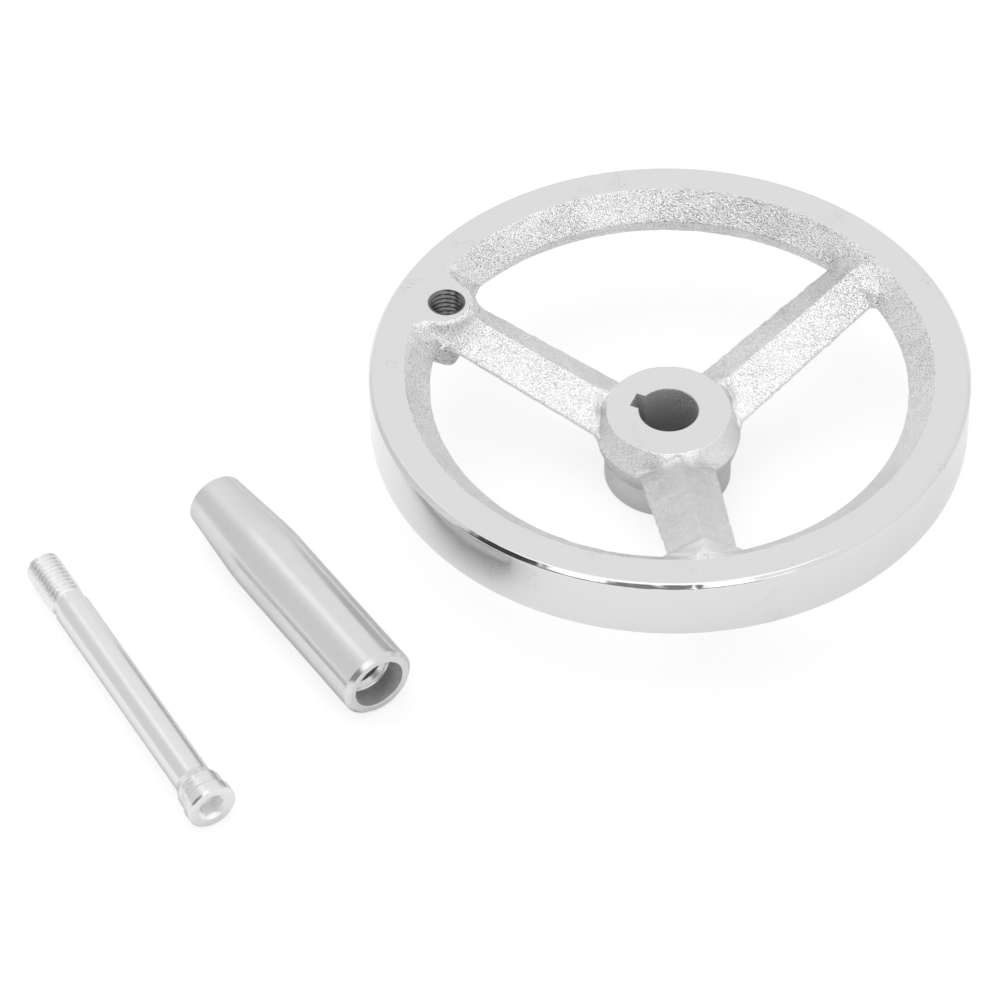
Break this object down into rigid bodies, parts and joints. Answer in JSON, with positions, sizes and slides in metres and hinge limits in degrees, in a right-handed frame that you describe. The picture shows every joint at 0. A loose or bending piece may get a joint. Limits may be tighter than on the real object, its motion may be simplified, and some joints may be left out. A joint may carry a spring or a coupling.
{
  "type": "machine handwheel",
  "caption": "Dished machine handwheel with ridged spokes and a keyed bore, lying beside the sleeve and the socket-head spindle of its revolving handle.",
  "frame": {"origin": "on the axis of the shaft bore, at the hub's back face, which is also the level that everything lies on", "axes": "+Z along the bore axis towards the operator's side; +X to the right and +Y away, with the handle's sleeve and spindle lying on the -X side and the handle boss in the direction 156.1 degrees from +X"},
  "size_m": [0.2512, 0.2065, 0.0397],
  "materials": {
    "handwheel": "polished",
    "handle_sleeve": "polished",
    "handle_spindle": "satin"
  },
  "bodies": {
    "root": {"handwheel": "handwheel", "handle_sleeve": "handle_sleeve", "handle_spindle": "handle_spindle"}
  },
  "joints": []
}
